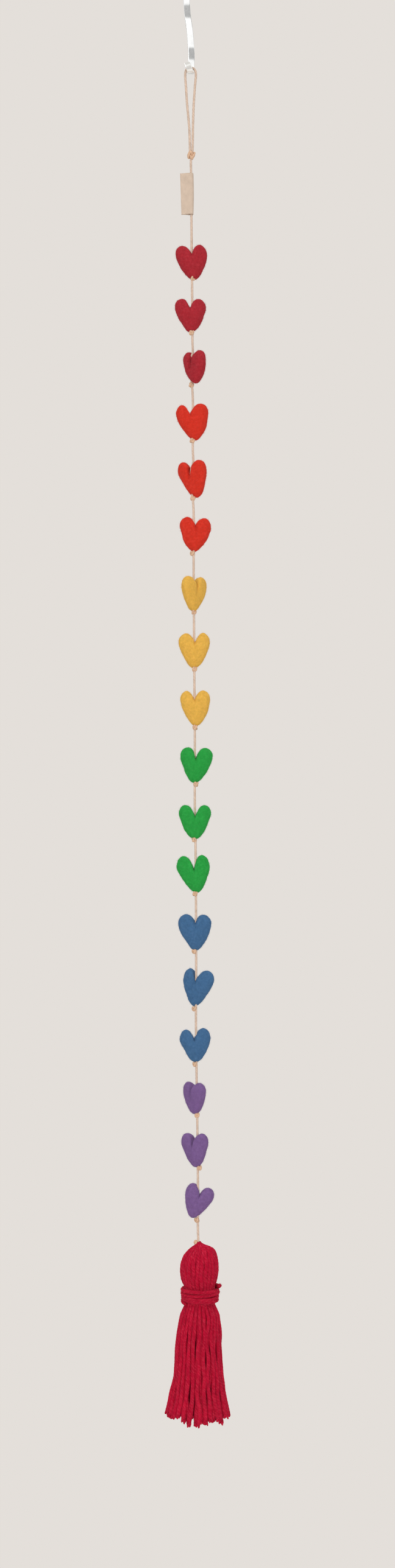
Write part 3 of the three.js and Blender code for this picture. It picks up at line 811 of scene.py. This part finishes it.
def hook_line():
    """The strip's middle seen from the side, as back and up, and how far it is down the front leg."""
    half = SEAT_SPAN / 2 + STRIP_THICK / 2
    top = STRIP_THICK / 2
    bend = np.linspace(0, np.pi / 2, 12)
    points = [(half, -down) for down in np.linspace(LIP_DROP, BEND_RADIUS, 12)]
    for middle, start in ((half - BEND_RADIUS, 0), (BEND_RADIUS - half, np.pi / 2)):
        for a in bend + start:
            points.append((middle + BEND_RADIUS * math.cos(a), top - BEND_RADIUS + BEND_RADIUS * math.sin(a)))
    foot = HOOK_DROP - STRIP_THICK / 2 - J_RADIUS
    points += [(-half, -down) for down in np.linspace(3, foot - 0.5, 150)]
    for a in np.linspace(0, np.pi, 26):
        points.append((-half - J_RADIUS + J_RADIUS * math.cos(a), -foot - J_RADIUS * math.sin(a)))
    tip = np.array([-half - 2 * J_RADIUS - J_TIP_FLARE, -HOOK_DROP + J_TIP_RISE])
    last = np.array(points[-1])
    points += [last + (tip - last) * share for share in (0.35, 0.7, 1)]
    return np.array(points)


def strip_section():
    """A strip's section with rounded edges, as across and out."""
    corners = []
    flat = STRIP_WIDTH / 2 - STRIP_EDGE
    for sx, sy, start in ((1, 1, 0), (-1, 1, 90), (-1, -1, 180), (1, -1, 270)):
        held = (sx * (flat - STRIP_HOLD), sy * STRIP_THICK / 2)
        if sx != sy:
            corners.append(held)
        for a in np.radians([start, start + 30, start + 60, start + 90]):
            corners.append((
                sx * flat + STRIP_EDGE * math.cos(a),
                sy * (STRIP_THICK / 2 - STRIP_EDGE) + STRIP_EDGE * math.sin(a),
            ))
        if sx == sy:
            corners.append(held)
    return np.array(corners)


def make_hook():
    line = hook_line()
    section = strip_section()
    along = unit(np.gradient(line, axis=0))
    out = np.stack([along[:, 1], -along[:, 0]], axis=1)
    leg = (line[:, 0] < -SEAT_SPAN / 2) & (line[:, 1] < -10)
    down = -line[:, 1]
    fine_down = np.linspace(0, HOOK_DROP, 600)
    slope = np.tan(np.radians(np.interp(fine_down, LEG_TILT[:, 0], LEG_TILT[:, 1])))
    bow = np.interp(down, fine_down, np.cumsum(slope) * fine_down[1])
    height, size = LEG_RIPPLE
    ripple = (bow + height * waves(down[:, None], size, 3)) * leg
    stray_down = np.linspace(0, HOOK_DROP, 300)
    stray = np.interp(stray_down, LEG_STRAY[:, 0], LEG_STRAY[:, 1])
    kernel = np.hanning(2 * STRAY_SOFTENING + 1)
    stray = np.convolve(np.pad(stray, STRAY_SOFTENING, mode="edge"), kernel / kernel.sum(), mode="valid")
    x = np.tile(section[:, 0], (len(line), 1))
    y, z = np.moveaxis(line[:, None] + out[:, None] * (section[:, 1:] + ripple[:, None, None]), -1, 0)
    aside = np.interp(-z, stray_down, stray) * (y < 0)
    front = y < CORD_Y_AT_HOOK
    turn = J_TIP_LEAN * np.clip((CORD_Y_AT_HOOK - y) / J_RADIUS, 0, 1)
    lean_x = x * np.cos(turn) - (z + HOOK_DROP) * np.sin(turn)
    lean_z = z + J_TIP_SLOPE * x * np.sin(turn)
    rings = np.stack([np.where(front, lean_x, x + aside), y, np.where(front, lean_z, z)], axis=-1)
    body = Body()
    body.add(np.vstack([*rings, *rings[[0, -1]].mean(axis=1)]), tube_faces(*rings.shape[:2]))
    hook = body.piece("hook_strip", [polished("polished_strip", METAL_COLOUR)])
    hook.data.shade_smooth()
    hook.data.set_sharp_from_angle(angle=math.radians(40))
    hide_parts("hook")


# The tag


def make_tag():
    """A length of tape folded once round the cord, its layers pressed together at the open side."""
    turn = np.linspace(-np.pi / 2, np.pi / 2, 18)
    fold = [(TAG_ROUND * math.cos(a), TAG_ROUND * math.sin(a)) for a in turn]
    back = [(x, -y) for x, y in reversed(TAG_LAYER)]
    path = smooth_line(TAG_LAYER + fold + back, 0.35)
    heights = np.linspace(0, TAG_LENGTH, 60)
    along = unit(np.gradient(path, axis=0))
    out = np.stack([along[:, 1], -along[:, 0]], axis=1)
    sheets = []
    for side in (0.5, -0.5):
        rows = []
        for height in heights:
            ring = path + out * side * TAG_THICK
            share = height / TAG_LENGTH
            bow = TAG_BOW * math.sin(math.pi * share)
            x = ring[:, 0] + bow * np.clip((ring[:, 0] + 2) / 4, 0, 1) - TAG_TAPER * share * ring[:, 0]
            places = np.column_stack([ring * 0.6, np.full(len(ring), height)])
            y = ring[:, 1] + TAG_RIPPLE[0] * waves(places, TAG_RIPPLE[1], 21)
            down = TAG_TOP_DOWN + height
            cut = height in (heights[0], heights[-1])
            edge = TAG_RAGGED[0] * waves(ring, TAG_RAGGED[1], 8) * cut
            rows.append(np.column_stack([TAG_ASIDE + x, cord_y(down) + y, -down - edge]))
        sheets.append(np.array(rows))
    rows, columns = sheets[0].shape[:2]
    outer, inner = (s.reshape(-1, 3) for s in sheets)
    faces = grid_faces(rows, columns, closed_columns=False)
    n = rows * columns
    rim = np.concatenate([
        np.arange(columns),
        np.arange(1, rows) * columns + columns - 1,
        (rows - 1) * columns + np.arange(columns - 2, -1, -1),
        np.arange(rows - 2, 0, -1) * columns,
    ])
    after = np.roll(rim, -1)
    sides = [np.stack(corners, axis=1) for corners in ((rim, n + rim, n + after), (rim, n + after, after))]
    body = Body()
    body.add(np.vstack([outer, inner]), np.concatenate([faces, faces[:, ::-1] + n, *sides]))
    tag = body.piece("tag_tape", [tape("woven_tape", TAG_COLOUR)])
    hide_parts("tag")


# The hearts


def heart_outline(width, height, notch_aside, notch_depth):
    """The outline from the notch down the right side to the tip and up the left side."""
    halves = []
    for side in (1, -1):
        across, up, dip = HALF_OUTLINE.T
        moved = np.arange(len(across)) < NOTCH_POINTS
        drift = notch_aside * np.clip(1 - across / NOTCH_REACH, 0, None) * moved
        half = np.stack([side * across * width / 2 + drift, up * height - dip * notch_depth], axis=1)
        beyond = half[-2:-1] * [-1, 1]
        line = smooth_line(np.vstack([half, beyond]), 0.05)
        tip = np.argmin(np.abs(line[len(line) // 2 :, 0])) + len(line) // 2
        halves.append(even_line(line[: tip + 1], lengths_along(line[: tip + 1])[-1] / (HEART_ROUND // 2)))
    return np.vstack([halves[0][:-1], halves[1][::-1][:-1]])


def heart_form(width, height, notch_aside, notch_depth, tip_aside, crease, seed):
    outline = heart_outline(width, height, notch_aside, notch_depth)
    centre = np.array([0, height * HEART_CENTRE])
    tilt = np.linspace(-np.pi / 2, np.pi / 2, HEART_RINGS + 1)[1:-1]
    out = np.cos(tilt) ** HEART_PUFF
    face = np.sign(np.sin(tilt)) * np.abs(np.sin(tilt)) ** HEART_PUFF * width * HEART_FULLNESS / 2
    x, z = np.moveaxis(centre + out[:, None, None] * (outline - centre), -1, 0)
    vertices = np.stack([x, np.broadcast_to(face[:, None], x.shape), z], axis=-1).reshape(-1, 3)
    poles = np.array([[0, -1, 0], [0, 1, 0]]) * width * HEART_FULLNESS / 2 + [0, 0, centre[1]]
    vertices = np.vstack([vertices, poles])
    vertices[:, 0] += tip_aside * np.clip(1 - vertices[:, 2] / (TIP_BEND * height), 0, None) ** TIP_CURVE
    faces = tube_faces(len(tilt), len(outline))

    # The crease that runs on from the notch, pressed into the front
    length, lean, depth = crease
    notch = outline[0]
    way = np.array([lean, -length])
    share = np.clip((vertices[:, [0, 2]] - notch) @ way / (way @ way), 0, 1)
    gap = np.linalg.norm(vertices[:, [0, 2]] - notch - share[:, None] * way, axis=1)
    press = depth * np.exp(-((gap / CREASE_HALF) ** 2)) * (1 - CREASE_FADE * share)
    vertices[:, 1] += press * np.clip(-vertices[:, 1] / (CREASE_BLEND * width * HEART_FULLNESS), 0, 1)

    normals = vertex_normals(vertices, faces)
    for number, (size, rise) in enumerate(HEART_LUMPS):
        vertices = vertices + normals * rise * waves(vertices, size, seed + number)[:, None]
    vertices[:, 2] -= height / 2
    return vertices, faces


def make_heart(row, index):
    down, _, tip_up, middle, width, height, *shape = row
    notch_aside, notch_depth, tip_aside, yaw, roll, *crease = shape
    colour = list(FELT_COLOURS)[index // HEARTS_OF_A_COLOUR]
    vertices, faces = heart_form(width, height, notch_aside, notch_depth, tip_aside, crease, 100 + 10 * index)
    turned = math.radians(yaw)
    z = -down + tip_up + height / 2
    reach_back = width / 2 * math.hypot(math.sin(turned), HEART_FULLNESS * math.cos(turned))
    y = min(cord_y(-z) + HEART_BEHIND_CORD, BACK_LIMIT - reach_back)
    turn = np.array(Matrix.Rotation(turned, 3, "Z") @ Matrix.Rotation(math.radians(roll), 3, "Y"))
    vertices = vertices @ turn.T + [middle, y, z]
    random = np.random.default_rng(500 + index)
    body = Body()
    body.add(vertices, faces)
    add_fuzz(body, random, HEART_FIBRES, HEART_FIBRE, HEART_LIFT)
    name = f"heart_{index + 1:02d}_{colour}"
    heart = body.piece(f"felt_{name}", FELTS[colour])
    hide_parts(name)


# The tassel


def tassel_form(down):
    """The smoothed form's middle and half widths at heights below the tassel's top."""
    fine = np.arange(-8, 140, 0.25)
    kernel = np.hanning(13) / np.hanning(13).sum()
    out = []
    for column in range(1, 4):
        values = np.interp(fine, TASSEL_FORM[:, 0], TASSEL_FORM[:, column])
        out.append(np.interp(down, fine, np.convolve(values, kernel, mode="same")))
    return out


def tassel_points(down, angle, share, past=0.0):
    middle, across, deep = tassel_form(down)
    x = TASSEL_ASIDE + middle + (across * share + past) * np.cos(angle)
    y = CORD_Y_AT_TASSEL + (deep * share + past) * np.sin(angle)
    return np.stack([x, y, -TASSEL_DOWN - down + 0 * x], axis=-1)


def wrap_slant(angle):
    return WRAP_SLANT[0] * np.cos(angle) + WRAP_SLANT[1] * np.sin(angle)


def uneven_tint(along, seed):
    """How much paler or darker a strand is along its length."""
    random = np.random.default_rng(seed)
    return 0.07 * random.normal() + 0.07 * waves(along[:, None], 14.0, seed)


def add_frayed_end(body, path, radius, random):
    """The plies of a cut strand, opened at its end, with loose fibres."""
    way = unit(path[-1] - path[-4])
    across = unit(np.cross(way, [0.3, 1.0, 0.1]))
    other = np.cross(way, across)
    start = random.uniform(0, 2 * np.pi)
    for ply in range(YARN_PLIES):
        turn = start + 2 * np.pi * ply / YARN_PLIES + 0.3 * random.normal()
        out = math.cos(turn) * across + math.sin(turn) * other
        place = np.linspace(0, 1, 6)[:, None]
        reach = FRAY_LENGTH + abs(random.normal()) * 0.5
        spread = 0.45 * radius + random.uniform(*FRAY_SPREAD) * place**2
        line = path[-1] - way * FRAY_BACK + place * way * (FRAY_BACK + reach) + out * spread
        phase = random.uniform(0, 6)
        tint = 0.1 * random.normal()
        add_strand(body, line, radius * FRAY_THICK, 1, sides=8, groove=0.0, phase=phase, tint=tint)
        spread = unit(random.normal(size=(FRAY_FIBRES, 3)) * [1, 1, 0.4] + 1.4 * way)
        roots = line[-2] + random.normal(size=(FRAY_FIBRES, 3)) * 0.3
        add_fibres(body, roots, spread, random, (0.5, 1.5), END_FIBRE_RADIUS, 1.5)


def make_tassel_head():
    random = np.random.default_rng(71)
    body = Body()
    downs = np.concatenate([HEAD_START, np.arange(10.7, HEAD_END, YARN_STEP)])
    _, across, deep = tassel_form(downs)
    around = 2 * np.pi * np.sqrt((across**2 + deep**2) / 2)
    radius = np.minimum(HEAD_YARN_SHARE * around / HEAD_YARNS, HEAD_YARN_MOST)
    for i in range(HEAD_YARNS):
        wander = 0.03 * waves(downs[:, None] / 9, 1.0, 300 + i)
        angle = 2 * np.pi * (i + 0.06 * random.normal()) / HEAD_YARNS + wander
        past = -radius * (HEAD_SINK[0] + HEAD_SINK[1] * random.normal())
        path = tassel_points(downs, angle, 1.0, past)
        path[:, 2] += wrap_slant(angle) * np.clip((downs - 14) / 13, 0, 1)
        phase = random.uniform(0, 6)
        add_strand(body, path, radius, phase=phase, tint=uneven_tint(downs, 600 + i))
    # The dark core under the strands: painted shade where they part
    core_downs = np.linspace(1.5, HEAD_END, 30)
    angle = 2 * np.pi * np.arange(CORE_SIDES) / CORE_SIDES
    rings = [tassel_points(np.full(CORE_SIDES, down), angle, CORE_SHARE) for down in core_downs]
    core = np.vstack([*rings, rings[0].mean(axis=0), rings[-1].mean(axis=0)])
    body.add(core, tube_faces(len(rings), CORE_SIDES, flip=True), CORE_SHADE)
    add_fuzz(body, random, HEAD_FIBRES, YARN_FIBRE, YARN_LIFT)
    head = body.piece("tassel_head", YARNS)
    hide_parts("tassel")


def make_tassel_skirt():
    for ring, (count, root_share, end_share, sides, turn, fibres) in enumerate(SKIRT_RINGS):
        random = np.random.default_rng(80 + ring)
        body = Body()
        for i in range(count):
            angle = 2 * np.pi * (i + turn + 0.08 * random.normal()) / count
            longer = SKIRT_MIDDLE_LONGER * (1 - abs(math.cos(angle))) + SKIRT_UNEVEN * random.normal()
            longer -= SKIRT_LEFT_SHORTER * max(0, -math.cos(angle))
            length = SKIRT_END + np.clip(longer, -5, 6) - SKIRT_ROOT - FRAY_LENGTH
            step = YARN_STEP if ring == 0 else INNER_STEP
            place = np.linspace(0, 1, int(length / step))
            down = SKIRT_ROOT + place * length
            share = root_share + (end_share - root_share) * place
            wander = waves(place[:, None] * 4.5, 1.0, 400 + 40 * ring + i)
            free = np.clip(place * 3, 0, 1)
            swing = angle + (SKIRT_SWING[0] * wander + SKIRT_SWING[1] * random.normal()) * free
            grown = YARN_RADIUS * np.interp(place, STRAND_THICK[:, 0], STRAND_THICK[:, 1])
            grown = grown * (1 + 0.05 * waves(place[:, None] * 9, 1.0, 50 + i))
            past = SKIRT_PUSH * waves(place[:, None] * 3.2, 1.0, 900 + 40 * ring + i) * free
            path = tassel_points(down, swing, share, past - grown)
            phase = random.uniform(0, 6)
            # Painted shade: each ring further in is darker
            tint = uneven_tint(down, 700 + 40 * ring + i) - SKIRT_RING_SHADE * ring
            add_strand(body, path, grown, sides=sides, phase=phase, tint=tint)
            if ring < 3:
                add_frayed_end(body, path, grown[-1], random)
        add_fuzz(body, random, fibres, YARN_FIBRE, YARN_LIFT)
        skirt = body.piece(f"tassel_skirt_{ring + 1}", YARNS)
        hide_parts("tassel")


def make_tassel_wrap():
    """The yarn wound round the neck in uneven turns, its fluffy end left out at the right."""
    random = np.random.default_rng(91)
    turn = np.linspace(0, WRAP_TURNS, int(WRAP_TURNS * 84))
    angle = 2 * np.pi * turn
    uneven = WRAP_UNEVEN[0] * waves(turn[:, None], 0.45, 14)
    down = WRAP_TOP + turn * WRAP_PITCH + uneven * np.clip(turn * 2, 0.2, 1)
    past = WRAP_PAST + WRAP_UNEVEN[1] * waves(turn[:, None], 0.35, 15)
    path = tassel_points(down, angle, 1.0, past)
    path[:, 2] += wrap_slant(angle)
    path = smooth_line(np.vstack([path[0] + WRAP_STUB, path[4::5]]), 0.7)
    body = Body()
    radius = YARN_RADIUS * 1.06 * (1 + 0.07 * waves(lengths_along(path)[:, None], 6.0, 16))
    tint = uneven_tint(lengths_along(path), 92)
    add_strand(body, path, radius, pitch=WRAP_YARN_PITCH, tint=tint)
    add_fuzz(body, random, WRAP_FIBRES, YARN_FIBRE, YARN_LIFT)
    roots = path[0] + random.normal(size=(WRAP_END_FIBRES, 3)) * 0.45
    ways = unit(random.normal(size=(WRAP_END_FIBRES, 3)) + [1.2, -0.6, 0.6])
    add_fibres(body, roots, ways, random, (0.8, 2.0), END_FIBRE_RADIUS, 1.6)
    wrap = body.piece("tassel_wrap_yarn", YARNS)
    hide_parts("tassel_wrap")


# The studio: an even pale surround, two broad soft lights and a floor below


def make_world():
    world = bpy.data.worlds.new("surround")
    bpy.context.scene.world = world
    world.use_nodes = True
    tree = world.node_tree
    place = output_of(tree, "TexCoord", {}, "Generated")
    shades = []
    for axis, stops in (("Z", SKY_BANDS), ("X", SKY_SIDES)):
        part = output_of(tree, "SeparateXYZ", {"Vector": place}, axis)
        share = output_of(tree, "MapRange", {"From Min": -1, "Value": part}, "Result")
        shades.append(ramp(tree, share, stops))
    sky = {"Strength": SURROUND_LIGHT, "Color": mixed(tree, "MULTIPLY", 1.0, *shades)}
    seen = tree.nodes["Background"]
    feed(tree, seen, {"Color": (*SURROUND_COLOUR, 1)})
    choice = {
        "Fac": output_of(tree, "LightPath", {}, "Is Camera Ray"),
        1: output_of(tree, "Background", sky, "Background"),
        2: seen.outputs["Background"],
    }
    surround = output_of(tree, "MixShader", choice, "Shader")
    feed(tree, tree.nodes["World Output"], {"Surface": surround})
    bpy.context.scene.view_settings.view_transform = "Standard"


def make_light(name, place, size, power):
    light = bpy.data.lights.new(name, "AREA")
    light.shape = "RECTANGLE"
    light.size, light.size_y = size
    light.energy = power
    made = bpy.data.objects.new(name, light)
    made.location = place
    made.rotation_euler = (Vector(LIGHT_TARGET) - Vector(place)).to_track_quat("-Z", "Y").to_euler()
    bpy.context.scene.collection.objects.link(made)


def make_floor():
    """A pale round floor well below the garland."""
    mesh = bpy.data.meshes.new("floor")
    turns = [2 * math.pi * i / FLOOR_SIDES for i in range(FLOOR_SIDES)]
    ring = [(FLOOR_RADIUS * math.cos(a), FLOOR_RADIUS * math.sin(a), FLOOR_HEIGHT) for a in turns]
    mesh.from_pydata(ring, [], [tuple(range(FLOOR_SIDES))])
    floor = bpy.data.objects.new("floor", mesh)
    bpy.context.scene.collection.objects.link(floor)
    material, tree, shader, place = nodes_of("floor_paint", 0.85)
    spots = noise(tree, place, 60.0, 4.0)
    paint = ramp(tree, spots, [(0.3, (0.74, 0.71, 0.68)), (0.7, (0.78, 0.75, 0.72))])
    feed(tree, shader, {"Base Color": paint})
    mesh.materials.append(material)


make_camera()
CORD_MATERIAL = yarn("waxed_cotton", CORD_COLOUR, 0.86, 1.05, CORD_SHEEN_FLECK, size=0.3, roughness=0.7)
KNOT_MATERIAL = yarn("waxed_cotton_knot", KNOT_COLOUR, 0.75, 1.1, CORD_SHEEN_FLECK, size=0.3, roughness=0.7)
make_cord()
make_hook()
make_tag()
FELTS = {
    name: [felt(f"wool_felt_{name}", colour), fibre(f"wool_fibre_{name}", colour)]
    for name, colour in FELT_COLOURS.items()
}
for number, heart_row in enumerate(HEARTS):
    make_heart(heart_row, number)
YARNS = [
    yarn("soft_yarn", YARN_COLOUR, 0.82, 1.16, YARN_SHEEN_FLECK, soak=0.6),
    fibre("yarn_fibre", YARN_COLOUR),
]
make_tassel_head()
make_tassel_skirt()
make_tassel_wrap()
make_world()
for light_row in LIGHTS:
    make_light(*light_row)
make_floor()
